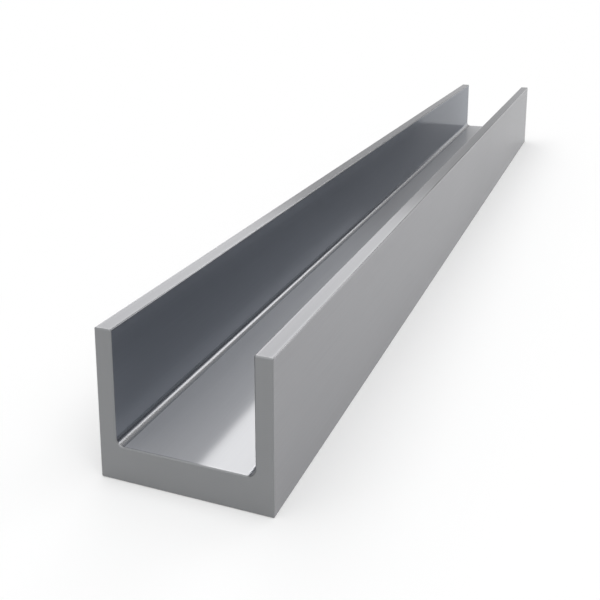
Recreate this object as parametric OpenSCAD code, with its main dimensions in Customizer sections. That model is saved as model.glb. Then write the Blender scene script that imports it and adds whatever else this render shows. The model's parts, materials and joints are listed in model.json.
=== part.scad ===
// Straight cut length of metal channel stock, lying on its web with the open side up.
// X runs across the section, Y along the length and Z up from the underside of the web.
// The origin lies under the middle of the length. Sizes are in millimetres.

/* [Section] */
// Width over the outer faces of the two flanges
section_w = 100; // [60:1:200]
// Height from the underside of the web to the tips of the flanges
section_h = 85; // [50:1:150]
// Thickness of each flange
flange_t = 10; // [5:0.5:18]
// Thickness of the web
web_t = 20; // [6:0.5:30]
// Radius of the fillets where the flanges meet the web
root_r = 5; // [2:0.5:8]

/* [Length] */
// Length of the cut piece, from one sawn end to the other
stock_l = 1000; // [100:10:3000]

/* [Edges] */
// Radius of the long edges at the flange tips and along the underside
edge_r = 0.8; // [0.3:0.1:2]
// Leg of the 45 degree break that runs round each sawn end
end_break = 0.6; // [0.2:0.1:1.5]

/* [Hidden] */
// Smoothness of the arcs
$fn = 96;
// Colour of the bare metal
metal_colour = [0.6, 0.6, 0.61];
// Clear space between the flanges
trough_w = section_w - 2 * flange_t;
// Depth from the flange tips down to the web
trough_d = section_h - web_t;
// How far a cutting shape runs past the metal that it cuts
overrun = end_break;
// Places along Y where the break of the far end begins and ends, with the overrun
break_start = stock_l / 2 - end_break - overrun;
break_stop = stock_l / 2 + overrun;

// Draws its children as they are, and mirrored to the other side of the plane across the axis
module mirrored_pair(axis) {
    children();
    mirror(axis) children();
}

// Area between a square corner at the origin and the arc that rounds it, with the overrun outside
module spandrel(r) {
    difference() {
        translate([-overrun, -overrun]) square(r + overrun);
        translate([r, r]) circle(r);
    }
}

// Cross section of the channel: square stock opened by the trough, with rounded edges and filled roots
module section_profile() {
    difference() {
        translate([-section_w / 2, 0]) square([section_w, section_h]);
        translate([-trough_w / 2, web_t]) square([trough_w, trough_d + overrun]);
        mirrored_pair([1, 0]) {
            translate([section_w / 2, 0]) rotate(90) spandrel(edge_r);
            translate([section_w / 2, section_h]) rotate(180) spandrel(edge_r);
            translate([trough_w / 2, section_h]) rotate(-90) spandrel(edge_r);
        }
    }
    mirrored_pair([1, 0]) translate([trough_w / 2, web_t]) rotate(90) spandrel(root_r);
}

// Long outline with a 45 degree gable at each end, which breaks the corners of the stock within it
module gabled_outline(breadth) {
    half = breadth / 2 + overrun;
    ridge = break_start + half;
    polygon([
        [half, break_start], [0, ridge], [-half, break_start],
        [-half, -break_start], [0, -ridge], [half, -break_start]
    ]);
}

// Outline that widens at 45 degrees through the far end, for the edges round the open space
module flared_outline(half) {
    inner = half - overrun;
    outer = half + end_break + overrun;
    polygon([[-inner, break_start], [inner, break_start], [outer, break_stop], [-outer, break_stop]]);
}

// The section drawn out to the cut length
module drawn_stock() {
    rotate([90, 0, 0]) linear_extrude(stock_l, center = true) section_profile();
}

// Everything inside the end breaks of the outer faces, the underside and the flange tips
module outer_breaks() {
    intersection() {
        translate([0, 0, -overrun]) linear_extrude(section_h + 2 * overrun) gabled_outline(section_w);
        translate([0, 0, section_h / 2]) rotate([0, 90, 0])
            linear_extrude(section_w + 2 * overrun, center = true) gabled_outline(section_h);
    }
}

// Break of the far end round the trough: flat along the flanges and the web, conical round the fillets
module trough_break() {
    fillet_x = trough_w / 2 - root_r;
    fillet_z = web_t + root_r;
    translate([0, 0, fillet_z])
        linear_extrude(section_h - fillet_z + overrun) flared_outline(trough_w / 2);
    translate([0, 0, section_h]) rotate([0, 90, 0])
        linear_extrude(2 * fillet_x, center = true) flared_outline(trough_d);
    mirrored_pair([1, 0, 0]) translate([fillet_x, break_start, fillet_z]) rotate([-90, 0, 0])
        cylinder(h = break_stop - break_start, r1 = root_r - overrun, r2 = root_r + end_break + overrun);
}

// The channel, one piece of metal
module channel() {
    color(metal_colour) difference() {
        intersection() {
            drawn_stock();
            outer_breaks();
        }
        mirrored_pair([0, 1, 0]) trough_break();
    }
}

channel();
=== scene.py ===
"""Dresses a cut length of metal channel: bare drawn metal, sawn ends, a pale floor and soft studio light.

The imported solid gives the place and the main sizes. The channel that shows is drawn from the same section
with finer arcs, stands in for the solid, and carries the finish.
"""
import json
import logging
import math
from collections.abc import Iterator, Mapping
from dataclasses import dataclass, field
from enum import Enum
from typing import Any, NamedTuple

import bpy
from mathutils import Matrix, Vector


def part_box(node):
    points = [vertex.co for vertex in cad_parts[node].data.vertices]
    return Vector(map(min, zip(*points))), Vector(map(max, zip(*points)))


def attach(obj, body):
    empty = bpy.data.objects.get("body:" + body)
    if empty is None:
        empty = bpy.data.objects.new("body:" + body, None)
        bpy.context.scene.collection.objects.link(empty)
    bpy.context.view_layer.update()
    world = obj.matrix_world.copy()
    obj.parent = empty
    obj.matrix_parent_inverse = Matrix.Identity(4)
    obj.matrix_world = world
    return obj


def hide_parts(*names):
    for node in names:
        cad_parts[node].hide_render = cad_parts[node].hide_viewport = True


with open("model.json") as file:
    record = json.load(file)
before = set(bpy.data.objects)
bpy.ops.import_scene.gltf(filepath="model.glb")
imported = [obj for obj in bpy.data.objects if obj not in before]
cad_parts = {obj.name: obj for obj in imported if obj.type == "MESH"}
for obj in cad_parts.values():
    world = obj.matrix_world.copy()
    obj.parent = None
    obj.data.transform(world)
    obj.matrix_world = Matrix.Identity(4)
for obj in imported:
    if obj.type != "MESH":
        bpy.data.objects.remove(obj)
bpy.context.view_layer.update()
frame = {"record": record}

log = logging.getLogger("channel")

MM = 0.001
METRE = 1.0
OPAQUE = 1.0
FULL_STRENGTH = 1.0
NOISE_MIDDLE = 0.5
QUAD_CORNERS = 4
NODE_NAME = "channel"
BODY_NAME = "root"
Colour = tuple[float, float, float]
Spot = tuple[float, float, float]


class Corner(Enum):
    """How a corner of the section is rounded."""

    EDGE = "outer edge"
    ROOT = "fillet between flange and web"


class Operation(Enum):
    """The sums that an expression on signals can ask for."""

    ADD = "ADD"
    SUBTRACT = "SUBTRACT"
    MULTIPLY = "MULTIPLY"
    DIVIDE = "DIVIDE"
    POWER = "POWER"
    ABSOLUTE = "ABSOLUTE"
    MINIMUM = "MINIMUM"
    MAXIMUM = "MAXIMUM"
    SINE = "SINE"
    SQUARE_ROOT = "SQRT"
    GREATER = "GREATER_THAN"
    LESS = "LESS_THAN"


class Signal:
    """An output socket that takes part in arithmetic. Each sum adds a Math node to the signal's graph."""

    def __init__(self, graph: "NodeGraph", socket: bpy.types.NodeSocket) -> None:
        """Wraps one output socket of a graph."""
        self.graph = graph
        self.socket = socket

    def __add__(self, other: "Term") -> "Signal":
        """Returns self + other."""
        return self.graph.sum(Operation.ADD, self, other)

    def __sub__(self, other: "Term") -> "Signal":
        """Returns self - other."""
        return self.graph.sum(Operation.SUBTRACT, self, other)

    def __rsub__(self, other: "Term") -> "Signal":
        """Returns other - self."""
        return self.graph.sum(Operation.SUBTRACT, other, self)

    def __mul__(self, other: "Term") -> "Signal":
        """Returns self * other."""
        return self.graph.sum(Operation.MULTIPLY, self, other)

    def __truediv__(self, other: "Term") -> "Signal":
        """Returns self / other."""
        return self.graph.sum(Operation.DIVIDE, self, other)

    def __pow__(self, other: "Term") -> "Signal":
        """Returns self raised to other."""
        return self.graph.sum(Operation.POWER, self, other)

    def __neg__(self) -> "Signal":
        """Returns self with the other sign."""
        return self.graph.sum(Operation.MULTIPLY, self, -1.0)

    def __abs__(self) -> "Signal":
        """Returns the size of self without its sign."""
        return self.graph.sum(Operation.ABSOLUTE, self)

    def __gt__(self, other: "Term") -> "Signal":
        """Returns 1 where self is more than other, and 0 elsewhere."""
        return self.graph.sum(Operation.GREATER, self, other)

    def __lt__(self, other: "Term") -> "Signal":
        """Returns 1 where self is less than other, and 0 elsewhere."""
        return self.graph.sum(Operation.LESS, self, other)

    def at_most(self, other: "Term") -> "Signal":
        """Returns the smaller of self and other."""
        return self.graph.sum(Operation.MINIMUM, self, other)

    def at_least(self, other: "Term") -> "Signal":
        """Returns the larger of self and other."""
        return self.graph.sum(Operation.MAXIMUM, self, other)

    def sine(self) -> "Signal":
        """Returns the sine of self."""
        return self.graph.sum(Operation.SINE, self)

    def root(self) -> "Signal":
        """Returns the square root of self."""
        return self.graph.sum(Operation.SQUARE_ROOT, self)


Term = Signal | float
Tone = Signal | tuple[float, float, float, float]


class NodeGraph:
    """A node tree, of a material, a world or a geometry modifier, that is put together by expressions."""

    def __init__(self, tree: bpy.types.NodeTree) -> None:
        """Takes an existing tree and clears it."""
        self.tree = tree
        tree.nodes.clear()

    @staticmethod
    def _socket(sockets: Any, key: str | int) -> bpy.types.NodeSocket:
        """Finds a socket.

        Args:
            sockets: The inputs or the outputs of a node.
            key: The socket's place, identifier or name.

        Returns:
            The socket. Identifiers come first, because a node can have several sockets of one name.
        """
        if isinstance(key, int):
            return sockets[key]
        for socket in sockets:
            if socket.identifier == key:
                return socket
        return sockets[key]

    def node(
        self,
        kind: str,
        settings: Mapping[str, Any] | None = None,
        inputs: Mapping[str | int, Any] | None = None,
    ) -> bpy.types.Node:
        """Adds a node.

        Args:
            kind: The node's type.
            settings: Its properties, set first.
            inputs: Its sockets' values, or the signals that feed them, by place, identifier or name.

        Returns:
            The new node.
        """
        made = self.tree.nodes.new(kind)
        for name, value in (settings or {}).items():
            setattr(made, name, value)
        for key, value in (inputs or {}).items():
            socket = self._socket(made.inputs, key)
            if isinstance(value, Signal):
                self.tree.links.new(value.socket, socket)
            else:
                socket.default_value = value
        return made

    def signal(
        self,
        kind: str,
        output: str | int = 0,
        settings: Mapping[str, Any] | None = None,
        inputs: Mapping[str | int, Any] | None = None,
    ) -> Signal:
        """Adds a node and returns one of its outputs.

        Args:
            kind: The node's type.
            output: The output's place, identifier or name.
            settings: As for node().
            inputs: As for node().

        Returns:
            The output as a signal.
        """
        return Signal(self, self._socket(self.node(kind, settings, inputs).outputs, output))

    def sum(self, operation: Operation, *terms: Term) -> Signal:
        """Adds a Math node for one step of an expression."""
        return self.signal("ShaderNodeMath", 0, {"operation": operation.value}, dict(enumerate(terms)))

    def axes(self, vector: Signal) -> tuple[Signal, Signal, Signal]:
        """Splits a vector into its X, Y and Z signals."""
        split = self.node("ShaderNodeSeparateXYZ", None, {0: vector})
        return tuple(Signal(self, split.outputs[axis]) for axis in ("X", "Y", "Z"))

    def stretched(self, vector: Signal, factors: Spot) -> Signal:
        """Multiplies a vector by a factor for each axis."""
        return self.signal("ShaderNodeVectorMath", 0, {"operation": "MULTIPLY"}, {0: vector, 1: factors})

    def scaled(self, vector: Signal, factor: Term) -> Signal:
        """Multiplies a vector by one number."""
        return self.signal("ShaderNodeVectorMath", 0, {"operation": "SCALE"}, {0: vector, "Scale": factor})

    def noise(self, vector: Signal, per_metre: float, detail: float, roughness: float) -> Signal:
        """Returns a noise between 0 and 1 with so many features to the metre."""
        inputs = {"Vector": vector, "Scale": per_metre, "Detail": detail, "Roughness": roughness}
        return self.signal("ShaderNodeTexNoise", "Fac", None, inputs)

    def ease(self, value: Term, start: float, stop: float) -> Signal:
        """Returns a smooth step from 0 at start to 1 at stop."""
        inputs = {"Value": value, "From Min": start, "From Max": stop}
        return self.signal("ShaderNodeMapRange", 0, {"interpolation_type": "SMOOTHSTEP"}, inputs)

    def tint(self, share: Term, first: Colour, second: Colour) -> Signal:
        """Mixes two colours, all first at a share of 0 and all second at a share of 1."""
        return self.blend(share, (*first, OPAQUE), (*second, OPAQUE))

    def blend(self, share: Term, first: Tone, second: Tone) -> Signal:
        """Mixes two tones, all first at a share of 0 and all second at a share of 1."""
        inputs = {"Factor_Float": share, "A_Color": first, "B_Color": second}
        return self.signal("ShaderNodeMix", "Result_Color", {"data_type": "RGBA"}, inputs)

    def relief(self, height: Signal) -> Signal:
        """Turns a height in metres into the normal of a relief."""
        inputs = {"Strength": FULL_STRENGTH, "Distance": METRE, "Height": height}
        return self.signal("ShaderNodeBump", 0, None, inputs)

    def metal(self, colour: Signal, roughness: Signal, normal: Signal, metallic: float) -> Signal:
        """Adds a metal surface of a colour, a roughness and a relief."""
        inputs = {"Base Color": colour, "Metallic": metallic, "Roughness": roughness, "Normal": normal}
        return self.signal("ShaderNodeBsdfPrincipled", 0, None, inputs)


@dataclass(frozen=True)
class Section:
    """Sizes of the channel in metres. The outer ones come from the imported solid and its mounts."""

    width: float
    height: float
    length: float
    flange: float
    web: float
    root_radius: float = 5.0 * MM
    edge_radius: float = 0.8 * MM
    end_break: float = 0.6 * MM

    @classmethod
    def from_frame(cls) -> "Section":
        """Reads the sizes from the solid's box and from where its mounts lie.

        Returns:
            The section as it was packed.
        """
        low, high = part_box(NODE_NAME)
        size = high - low
        places = {mount["name"]: mount["pos_m"] for mount in frame["record"]["mounts"]}
        return cls(
            width=size.x,
            height=size.z,
            length=size.y,
            flange=2.0 * (high.x - places["right_flange_tip"][0]),
            web=places["web_seat"][2],
        )

    @property
    def trough_half(self) -> float:
        """Half the clear width between the flanges."""
        return self.width / 2 - self.flange


class OutlinePoint(NamedTuple):
    """A point of the section's outline, with the direction that leads out of the metal."""

    place: Vector
    outward: Vector


@dataclass(frozen=True)
class Outline:
    """The closed outline of the section, seen from the front: X to the right and Z up."""

    section: Section
    edge_steps: int = 6
    root_steps: int = 16

    def corners(self) -> list[tuple[Vector, Corner]]:
        """Lists the section's sharp corners.

        Returns:
            The corners in order, with the metal on the left, and how each one is rounded.
        """
        s = self.section
        half = s.width / 2
        inner = s.trough_half
        return [
            (Vector((-half, 0.0)), Corner.EDGE),
            (Vector((half, 0.0)), Corner.EDGE),
            (Vector((half, s.height)), Corner.EDGE),
            (Vector((inner, s.height)), Corner.EDGE),
            (Vector((inner, s.web)), Corner.ROOT),
            (Vector((-inner, s.web)), Corner.ROOT),
            (Vector((-inner, s.height)), Corner.EDGE),
            (Vector((-half, s.height)), Corner.EDGE),
        ]

    def points(self) -> Iterator[OutlinePoint]:
        """Rounds each corner with its arc.

        Returns:
            The points of the arcs in order. Between two arcs the outline is straight.
        """
        corners = self.corners()
        for index, (corner, kind) in enumerate(corners):
            before = (corner - corners[index - 1][0]).normalized()
            after = (corners[(index + 1) % len(corners)][0] - corner).normalized()
            is_root = kind is Corner.ROOT
            radius = self.section.root_radius if is_root else self.section.edge_radius
            steps = self.root_steps if is_root else self.edge_steps
            side = -1.0 if is_root else 1.0
            centre = corner + (after - before) * radius
            for step in range(steps + 1):
                turn = math.pi / 2 * step / steps
                spoke = before * math.sin(turn) - after * math.cos(turn)
                yield OutlinePoint(centre + spoke * radius, spoke * side)


@dataclass(frozen=True)
class DrawnMetal:
    """Bare metal, drawn smooth along its length. Part of its sheen is clear and part is hazy.

    The outside, the walls of the trough and its seat have a pale and a dark tone each, mixed by lines and
    clouds. The walls' tones are darker and bluer than the outside's, a painted shade, and the seat's are much
    lighter, a painted light. Fillets and worn edges are polished, so they have less haze. The fillet margin
    is a share of the radius.
    """

    name: str = "drawn_bare_metal"
    pale: Colour = (0.355, 0.357, 0.369)
    dark: Colour = (0.328, 0.33, 0.342)
    # The walls' tones are darker and bluer than the outside's: a painted shade.
    wall_painted_shade_pale: Colour = (0.265, 0.286, 0.322)
    wall_painted_shade_dark: Colour = (0.245, 0.265, 0.299)
    # The seat's tones are much lighter than the outside's: a painted light.
    seat_painted_light_pale: Colour = (0.615, 0.617, 0.633)
    seat_painted_light_dark: Colour = (0.585, 0.587, 0.603)
    # Lighter tone on worn edges: partly rubbing wear, partly a painted edge highlight.
    worn_and_highlight_pale: Colour = (0.56, 0.56, 0.57)
    metallic: float = 1.0
    clear_roughness: float = 0.12
    hazy_roughness: float = 0.65
    hazy_share: float = 0.62
    polished_hazy_share: float = 0.1
    fillet_roughness: float = 0.13
    line_roughness: float = 0.04
    cloud_roughness: float = 0.03
    worn_roughness: float = 0.03
    lines_per_metre: float = 900.0
    line_stretch: float = 0.012
    line_detail: float = 4.0
    line_share: float = 0.5
    tone_from: float = 0.3
    tone_to: float = 0.7
    clouds_per_metre: float = 9.0
    cloud_stretch: float = 0.4
    cloud_detail: float = 3.0
    grain: float = 0.5
    fillet_margin: float = 0.125
    edge_wear: float = 1.4 * MM
    line_depth: float = 0.002 * MM

    def material(self, section: Section) -> bpy.types.Material:
        """Builds the finish.

        Args:
            section: The sizes that place the edges and the walls of the trough.

        Returns:
            The material, on object coordinates.
        """
        made = bpy.data.materials.new(self.name)
        made.use_nodes = True
        graph = NodeGraph(made.node_tree)
        place = graph.signal("ShaderNodeTexCoord", "Object")
        x, y, z = graph.axes(place)
        along = graph.stretched(place, (1.0, self.line_stretch, 1.0))
        lines = graph.noise(along, self.lines_per_metre, self.line_detail, self.grain)
        broad = graph.stretched(place, (1.0, self.cloud_stretch, 1.0))
        clouds = graph.noise(broad, self.clouds_per_metre, self.cloud_detail, self.grain)

        mottle = lines * self.line_share + clouds * (1 - self.line_share)
        share = graph.ease(mottle, self.tone_from, self.tone_to)
        # Masks for the painted light on the seat and the painted shade on the walls of the trough.
        painted_light_on_seat, painted_shade_on_walls = self._trough(graph, section, abs(x), z)
        outside = graph.tint(share, self.dark, self.pale)
        # Seat tones paint a light and wall tones paint a shade onto the same bare metal.
        seat = graph.tint(share, self.seat_painted_light_dark, self.seat_painted_light_pale)
        walls = graph.tint(share, self.wall_painted_shade_dark, self.wall_painted_shade_pale)
        colour = graph.blend(painted_shade_on_walls, graph.blend(painted_light_on_seat, outside, seat), walls)
        worn = self._worn_edges(section, abs(x), abs(y), z)
        # Worn edges turn lighter: partly wear, partly a painted edge highlight.
        colour = graph.blend(worn, colour, graph.tint(share, self.pale, self.worn_and_highlight_pale))
        on_fillet = self._fillets(graph, section, abs(x), z)
        spread = (lines - NOISE_MIDDLE) * self.line_roughness
        spread = spread + (clouds - NOISE_MIDDLE) * self.cloud_roughness
        spread = spread - worn * self.worn_roughness + on_fillet * self.fillet_roughness
        normal = graph.relief(lines * self.line_depth)
        lobes = [
            graph.metal(colour, spread + roughness, normal, self.metallic)
            for roughness in (self.clear_roughness, self.hazy_roughness)
        ]
        polished = on_fillet.at_least(worn)
        haze = polished * (self.polished_hazy_share - self.hazy_share) + self.hazy_share
        shader = graph.signal("ShaderNodeMixShader", 0, None, {0: haze, 1: lobes[0], 2: lobes[1]})
        graph.node("ShaderNodeOutputMaterial", None, {"Surface": shader})
        return made

    def _trough(
        self, graph: NodeGraph, section: Section, across: Signal, up: Signal
    ) -> tuple[Signal, Signal]:
        """Finds the seat and the walls of the trough, where the finish paints a light and a shade.

        Args:
            graph: The finish's graph.
            section: The sizes that place the trough.
            across: The distance from the middle plane.
            up: The height above the floor.

        Returns:
            One signal for the seat's painted light and one for the walls' painted shade, each 1 there and
            easing to 0 over the fillets.
        """
        inside = (across < section.trough_half + section.edge_radius / 2) * (up > section.web / 2)
        beside = graph.ease(across, section.trough_half - section.root_radius / 2, section.trough_half)
        above = graph.ease(up, section.web, section.web + section.root_radius)
        return inside * (1 - above), inside * above * beside

    def _fillets(self, graph: NodeGraph, section: Section, across: Signal, up: Signal) -> Signal:
        """Finds the fillets.

        Args:
            graph: The finish's graph.
            section: The sizes that place the fillets.
            across: The distance from the middle plane.
            up: The height above the floor.

        Returns:
            A signal that is 1 on the fillets and 0 on the flat faces that they join.
        """
        margin = section.root_radius * self.fillet_margin
        start = section.trough_half - section.root_radius
        top = section.web + section.root_radius
        beside = graph.ease(across, start, start + margin) * (across < section.trough_half + margin)
        below = 1 - graph.ease(up, top - margin, top)
        return beside * below * (up > section.web / 2)

    def _worn_edges(self, section: Section, across: Signal, along: Signal, up: Signal) -> Signal:
        """Finds the edges that handling has worn, where a lighter tone also paints an edge highlight.

        Args:
            section: The sizes that place the edges.
            across: The distance from the middle plane.
            along: The distance from the middle of the length.
            up: The height above the floor.

        Returns:
            A signal that is 1 on the long edges and end edges, falling to 0 over the width of the wear.
        """
        outer = self._near(across, section.width / 2)
        tip = self._near(up, section.height) * outer.at_least(self._near(across, section.trough_half))
        heel = self._near(up, 0.0) * outer
        return tip.at_least(heel).at_least(self._near(along, section.length / 2))

    def _near(self, value: Signal, place: float) -> Signal:
        """Returns 1 at a place, falling to 0 over the width of the wear."""
        return (1 - abs(value - place) / self.edge_wear).at_least(0.0)


@dataclass(frozen=True)
class SawnMetal:
    """Bare metal across a sawn end, with the fine arcs of a round blade, whose centre is given in X and Z."""

    name: str = "sawn_bare_metal"
    pale: Colour = (0.272, 0.277, 0.283)
    dark: Colour = (0.243, 0.248, 0.254)
    metallic: float = 1.0
    roughness: float = 0.42
    arc_roughness: float = 0.06
    arc_pitch: float = 0.9 * MM
    blade_centre: tuple[float, float] = (30.0 * MM, 160.0 * MM)
    arc_depth: float = 0.006 * MM
    clouds_per_metre: float = 30.0
    cloud_detail: float = 3.0
    grain: float = 0.5

    def material(self) -> bpy.types.Material:
        """Builds the finish.

        Returns:
            The material, on object coordinates.
        """
        made = bpy.data.materials.new(self.name)
        made.use_nodes = True
        graph = NodeGraph(made.node_tree)
        place = graph.signal("ShaderNodeTexCoord", "Object")
        x, _, z = graph.axes(place)
        clouds = graph.noise(place, self.clouds_per_metre, self.cloud_detail, self.grain)
        reach = ((x - self.blade_centre[0]) ** 2 + (z - self.blade_centre[1]) ** 2).root()
        arcs = ((reach * (2 * math.pi / self.arc_pitch)).sine() + 1) / 2
        colour = graph.tint((arcs + clouds) / 2, self.dark, self.pale)
        normal = graph.relief(arcs * self.arc_depth)
        rough = arcs * self.arc_roughness + self.roughness
        shader = graph.metal(colour, rough, normal, self.metallic)
        graph.node("ShaderNodeOutputMaterial", None, {"Surface": shader})
        return made


@dataclass(frozen=True)
class PaleFloor:
    """White paper floor that keeps the shadow by the channel and turns plain white away from it.

    The lift is the share of plain white by the channel. White_from and white_to are distances from its
    outline.
    """

    name: str = "pale_floor"
    colour: Colour = (0.92, 0.92, 0.92)
    lift: float = 0.2
    white_from: float = 0.0
    white_to: float = 0.22

    def material(self, section: Section) -> bpy.types.Material:
        """Builds the floor's finish.

        Args:
            section: The sizes that place the channel's outline on the floor.

        Returns:
            The material, on object coordinates.
        """
        made = bpy.data.materials.new(self.name)
        made.use_nodes = True
        graph = NodeGraph(made.node_tree)
        rays = graph.node("ShaderNodeLightPath")
        seen = Signal(graph, rays.outputs["Is Camera Ray"])
        seen = seen.at_least(Signal(graph, rays.outputs["Is Glossy Ray"]))
        seen = seen.at_least(Signal(graph, rays.outputs["Is Transmission Ray"]))
        x, y, _ = graph.axes(graph.signal("ShaderNodeTexCoord", "Object"))
        beside = (abs(x) - section.width / 2).at_least(0.0)
        beyond = (abs(y) - section.length / 2).at_least(0.0)
        away = graph.ease((beside ** 2 + beyond ** 2).root(), self.white_from, self.white_to)
        paper = graph.signal("ShaderNodeBsdfDiffuse", 0, None, {"Color": (*self.colour, OPAQUE)})
        white = graph.signal("ShaderNodeEmission", 0, None, {"Strength": FULL_STRENGTH})
        whiteness = seen * (away * (1 - self.lift) + self.lift)
        shader = graph.signal("ShaderNodeMixShader", 0, None, {0: whiteness, 1: paper, 2: white})
        graph.node("ShaderNodeOutputMaterial", None, {"Surface": shader})
        return made


@dataclass
class SweepTree:
    """Geometry nodes that draw a closed section out to a length and break the edges of both ends.

    A face counts as sawn when its normal leads along the length by more than square_on.
    """

    name: str = "draw_section_to_length"
    outward: str = "outward"
    square_on: float = 0.5
    inputs: dict[str, str] = field(default_factory=dict)

    def build(self) -> bpy.types.NodeTree:
        """Builds the tree and notes the identifiers of its named inputs.

        Returns:
            The node group, for a modifier on the outline's mesh.
        """
        tree = bpy.data.node_groups.new(self.name, "GeometryNodeTree")
        graph = NodeGraph(tree)
        sockets = {
            "Section": "NodeSocketGeometry",
            "Length": "NodeSocketFloat",
            "End Break": "NodeSocketFloat",
            "Stations": "NodeSocketInt",
            "Skin": "NodeSocketMaterial",
            "Cut": "NodeSocketMaterial",
        }
        for name, kind in sockets.items():
            self.inputs[name] = tree.interface.new_socket(name, in_out="INPUT", socket_type=kind).identifier
        tree.interface.new_socket("Channel", in_out="OUTPUT", socket_type="NodeSocketGeometry")
        given = graph.node("NodeGroupInput")
        length, end_break, stations = (
            Signal(graph, given.outputs[name]) for name in ("Length", "End Break", "Stations")
        )

        swept = self._sweep(graph, Signal(graph, given.outputs["Section"]), length, end_break, stations)
        broken = self._break_ends(graph, swept, length, end_break)
        whole = graph.signal("GeometryNodeRealizeInstances", 0, None, {0: broken})
        skin, cut = (Signal(graph, given.outputs[name]) for name in ("Skin", "Cut"))
        _, facing, _ = graph.axes(graph.signal("GeometryNodeInputNormal"))
        dressed = graph.signal("GeometryNodeSetMaterial", 0, None, {"Geometry": whole, "Material": skin})
        dressed = graph.signal(
            "GeometryNodeSetMaterial",
            0,
            None,
            {"Geometry": dressed, "Selection": abs(facing) > self.square_on, "Material": cut},
        )
        graph.node("NodeGroupOutput", None, {0: dressed})
        return tree

    def _sweep(
        self, graph: NodeGraph, section: Signal, length: Signal, end_break: Signal, stations: Signal
    ) -> Signal:
        """Draws the section along Y, with a ring at each station and one more at each end.

        Args:
            graph: The tree's graph.
            section: The outline, a ring of edges.
            length: The length over both ends.
            end_break: The depth of the broken edge, which is left between the last two rings of an end.
            stations: How many rings the plain length has.

        Returns:
            The closed mesh, with all rings of one size.
        """
        line = graph.signal("GeometryNodeCurvePrimitiveLine", 0, None, {"End": (0.0, 1.0, 0.0)})
        path = graph.signal(
            "GeometryNodeResampleCurve", 0, {"mode": "COUNT"}, {"Curve": line, "Count": stations + 2}
        )
        index = graph.signal("GeometryNodeInputIndex")
        pitch = (length - end_break * 2) / (stations - 1)
        half = length / 2
        along = ((index - 1) * pitch - half + end_break).at_least(-half).at_most(half)
        spot = graph.signal("ShaderNodeCombineXYZ", 0, None, {"Y": along})
        path = graph.signal("GeometryNodeSetPosition", 0, None, {"Geometry": path, "Position": spot})
        path = graph.signal("GeometryNodeSetCurveNormal", 0, {"mode": "Z_UP"}, {"Curve": path})
        ring = graph.signal("GeometryNodeMeshToCurve", 0, None, {"Mesh": section})
        swept = graph.signal(
            "GeometryNodeCurveToMesh", 0, None, {"Curve": path, "Profile Curve": ring, "Fill Caps": True}
        )
        return graph.signal("GeometryNodeFlipFaces", 0, None, {"Mesh": swept})

    def _break_ends(self, graph: NodeGraph, swept: Signal, length: Signal, end_break: Signal) -> Signal:
        """Draws the rings of the two ends in by the break.

        Args:
            graph: The tree's graph.
            swept: The closed mesh.
            length: The length over both ends.
            end_break: How far the end rings move in.

        Returns:
            The mesh with broken end edges.
        """
        _, along, _ = graph.axes(graph.signal("GeometryNodeInputPosition"))
        is_end = abs(along) > (length - end_break) / 2
        outward = graph.signal(
            "GeometryNodeInputNamedAttribute", 0, {"data_type": "FLOAT_VECTOR"}, {"Name": self.outward}
        )
        inset = graph.scaled(outward, -end_break * is_end)
        return graph.signal("GeometryNodeSetPosition", 0, None, {"Geometry": swept, "Offset": inset})


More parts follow.
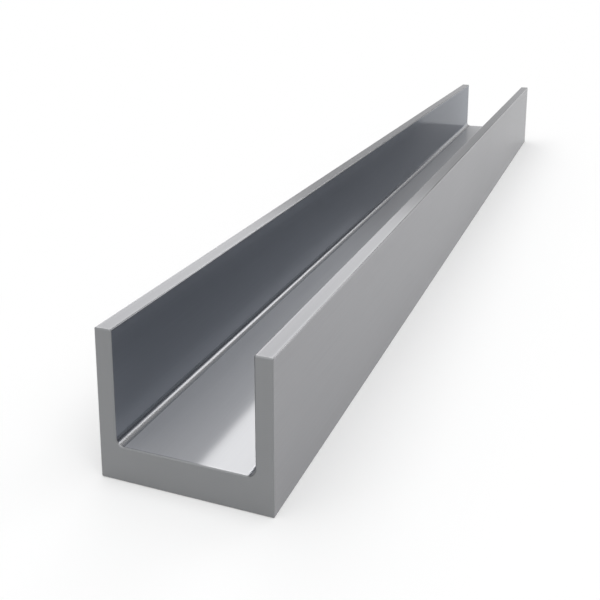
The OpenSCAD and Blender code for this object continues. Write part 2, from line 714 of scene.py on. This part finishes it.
@dataclass
class Channel:
    """The channel that shows, one piece of metal."""

    section: Section
    skin: DrawnMetal = DrawnMetal()
    cut: SawnMetal = SawnMetal()
    name: str = "channel_drawn"
    stations: int = 26

    def build(self) -> bpy.types.Object:
        """Draws the section out to its length and gives it its finish.

        Returns:
            The finished piece, a plain mesh at the origin.
        """
        tree = SweepTree()
        group = tree.build()
        outline = self._outline_object(tree.outward)
        modifier = outline.modifiers.new(group.name, "NODES")
        modifier.node_group = group
        values = {
            "Length": self.section.length,
            "End Break": self.section.end_break,
            "Stations": self.stations,
            "Skin": self.skin.material(self.section),
            "Cut": self.cut.material(),
        }
        for name, value in values.items():
            modifier[tree.inputs[name]] = value
        piece = self._as_plain_mesh(outline)
        self._set_normals(piece.data, tree.outward)
        return piece

    def dress(self, piece: bpy.types.Object) -> None:
        """Ties the piece to its body and hides the solid that it stands for.

        Args:
            piece: The finished piece.
        """
        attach(piece, BODY_NAME)
        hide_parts(NODE_NAME)

    def _outline_object(self, outward: str) -> bpy.types.Object:
        """Makes the outline as a ring of edges, turned so that the sweep stands it upright.

        Args:
            outward: The name of the attribute that keeps the directions out of the metal.

        Returns:
            The outline, an object without faces.
        """
        points = list(Outline(self.section).points())
        mesh = bpy.data.meshes.new(self.name)
        ring = [(index, (index + 1) % len(points)) for index in range(len(points))]
        mesh.from_pydata([(p.place.x, -p.place.y, 0.0) for p in points], ring, [])
        layer = mesh.attributes.new(outward, "FLOAT_VECTOR", "POINT")
        for entry, point in zip(layer.data, points):
            entry.vector = (point.outward.x, 0.0, point.outward.y)
        outline = bpy.data.objects.new(self.name, mesh)
        bpy.context.scene.collection.objects.link(outline)
        return outline

    @staticmethod
    def _as_plain_mesh(piece: bpy.types.Object) -> bpy.types.Object:
        """Replaces a piece's outline and modifier with the mesh that they make.

        Args:
            piece: The outline with its modifier.

        Returns:
            The same object, now a plain mesh.
        """
        graph = bpy.context.evaluated_depsgraph_get()
        mesh = bpy.data.meshes.new_from_object(piece.evaluated_get(graph))
        drawing = piece.data
        piece.modifiers.clear()
        piece.data = mesh
        bpy.data.meshes.remove(drawing)
        return piece

    def _set_normals(self, mesh: bpy.types.Mesh, outward: str) -> None:
        """Gives the arcs their true normals, so that flat faces stay flat up to the arcs.

        Args:
            mesh: The swept mesh.
            outward: The name of the attribute with the directions out of the metal, removed afterwards.
        """
        leads = [Vector(entry.vector) for entry in mesh.attributes[outward].data]
        normals: list[Vector] = []
        for face in mesh.polygons:
            face.use_smooth = True
            slope = face.normal.y
            is_cap = len(face.vertices) > QUAD_CORNERS
            for corner in face.vertices:
                lead = leads[corner] * math.sqrt(1 - slope * slope)
                normals.append(face.normal if is_cap else lead + Vector((0.0, slope, 0.0)))
        mesh.normals_split_custom_set(normals)
        mesh.attributes.remove(mesh.attributes[outward])


@dataclass(frozen=True)
class Softbox:
    """A soft lamp: a lit rectangle that faces the channel.

    The turn is counted from the back towards the left and the rise from the floor up, both in degrees. Sizes
    are in metres.
    """

    name: str
    turn: float
    rise: float
    width: float
    height: float
    radiance: float
    distance: float = 8.0

    @property
    def toward(self) -> Vector:
        """The direction in which the lamp hangs, seen from the channel."""
        turn, rise = math.radians(self.turn), math.radians(self.rise)
        return Vector((-math.sin(turn) * math.cos(rise), math.cos(turn) * math.cos(rise), math.sin(rise)))

    def build(self) -> bpy.types.Object:
        """Hangs the lamp and turns it towards the channel.

        Returns:
            The lamp.
        """
        lamp = bpy.data.lights.new(self.name, "AREA")
        lamp.shape = "RECTANGLE"
        lamp.size = self.width
        lamp.size_y = self.height
        lamp.energy = self.radiance * math.pi * self.width * self.height
        made = bpy.data.objects.new(self.name, lamp)
        made.location = self.toward * self.distance
        made.rotation_euler = (-self.toward).to_track_quat("-Z", "Y").to_euler()
        made.visible_camera = False
        bpy.context.scene.collection.objects.link(made)
        return made


@dataclass(frozen=True)
class Studio:
    """Pale floor, soft dome of light and lamps.

    The dome has the strength of the horizon up to horizon_from and its own from horizon_to. Both are sines of
    the angle above the floor.
    """

    section: Section
    floor: PaleFloor = PaleFloor()
    floor_half: float = 40.0
    dome_name: str = "studio_dome"
    dome: float = 0.3
    dome_colour: Colour = (1.0, 1.0, 1.0)
    horizon: float = 1.0
    horizon_from: float = math.sin(math.radians(6.0))
    horizon_to: float = math.sin(math.radians(11.0))
    lamps: tuple[Softbox, ...] = (
        Softbox("back_left_softbox", turn=26.0, rise=27.0, width=4.6, height=2.8, radiance=1.9),
        Softbox("back_right_softbox", turn=-29.0, rise=26.0, width=3.4, height=2.6, radiance=1.6),
        Softbox("top_softbox", turn=180.0, rise=80.0, width=12.5, height=12.5, radiance=1.4),
        Softbox("front_softbox", turn=220.0, rise=44.0, width=6.0, height=3.2, radiance=1.75),
    )

    def build(self) -> None:
        """Lays the floor, lights the dome and hangs the lamps."""
        self._lay_floor()
        self._light_dome()
        for lamp in self.lamps:
            log.info("lamp %s", lamp.build().name)

    def _lay_floor(self) -> None:
        """Lays the floor level with the underside of the web."""
        half = self.floor_half
        mesh = bpy.data.meshes.new(self.floor.name)
        corners = [(-half, -half, 0.0), (half, -half, 0.0), (half, half, 0.0), (-half, half, 0.0)]
        mesh.from_pydata(corners, [], [(0, 1, 2, 3)])
        mesh.materials.append(self.floor.material(self.section))
        floor = bpy.data.objects.new(self.floor.name, mesh)
        bpy.context.scene.collection.objects.link(floor)

    def _light_dome(self) -> None:
        """Makes the world a soft dome that is pale along the horizon."""
        world = bpy.data.worlds.new(self.dome_name)
        world.use_nodes = True
        bpy.context.scene.world = world
        graph = NodeGraph(world.node_tree)
        _, _, up = graph.axes(graph.signal("ShaderNodeTexCoord", "Generated"))
        above = graph.ease(up, self.horizon_from, self.horizon_to)
        strength = above * (self.dome - self.horizon) + self.horizon
        sky = {"Color": (*self.dome_colour, OPAQUE), "Strength": strength}
        light = graph.signal("ShaderNodeBackground", 0, None, sky)
        graph.node("ShaderNodeOutputWorld", None, {"Surface": light})


@dataclass(frozen=True)
class PhotoCamera:
    """The camera of the photograph, fitted to the straight edges of the section.

    The stand and the sight are in metres, the lens and the sensor in millimetres. The rise is the lens shift,
    as a share of the sensor.
    """

    name: str = "photo_camera"
    stand: Spot = (0.1974, -0.8442, 0.2655)
    turn_left: float = math.radians(21.25)
    look_down: float = math.radians(12.04)
    lens: float = 51.37
    sensor: float = 36.0
    rise: float = -0.25
    sight: float = 200.0

    def build(self) -> bpy.types.Object:
        """Sets the camera up and makes it the scene's own.

        Returns:
            The camera.
        """
        data = bpy.data.cameras.new(self.name)
        data.sensor_width = self.sensor
        data.lens = self.lens
        data.shift_y = self.rise
        data.clip_end = self.sight
        camera = bpy.data.objects.new(self.name, data)
        camera.location = self.stand
        camera.rotation_euler = (math.pi / 2 - self.look_down, 0.0, self.turn_left)
        bpy.context.scene.collection.objects.link(camera)
        bpy.context.scene.camera = camera
        return camera


def main() -> None:
    """Builds the camera, the channel and the studio, in that order."""
    logging.basicConfig(level=logging.INFO, format="%(message)s")
    bpy.context.scene.view_settings.view_transform = "Standard"
    PhotoCamera().build()
    section = Section.from_frame()
    channel = Channel(section)
    piece = channel.build()
    channel.dress(piece)
    log.info("piece %s: %d faces", piece.name, len(piece.data.polygons))
    Studio(section).build()


if __name__ == "__main__":
    main()
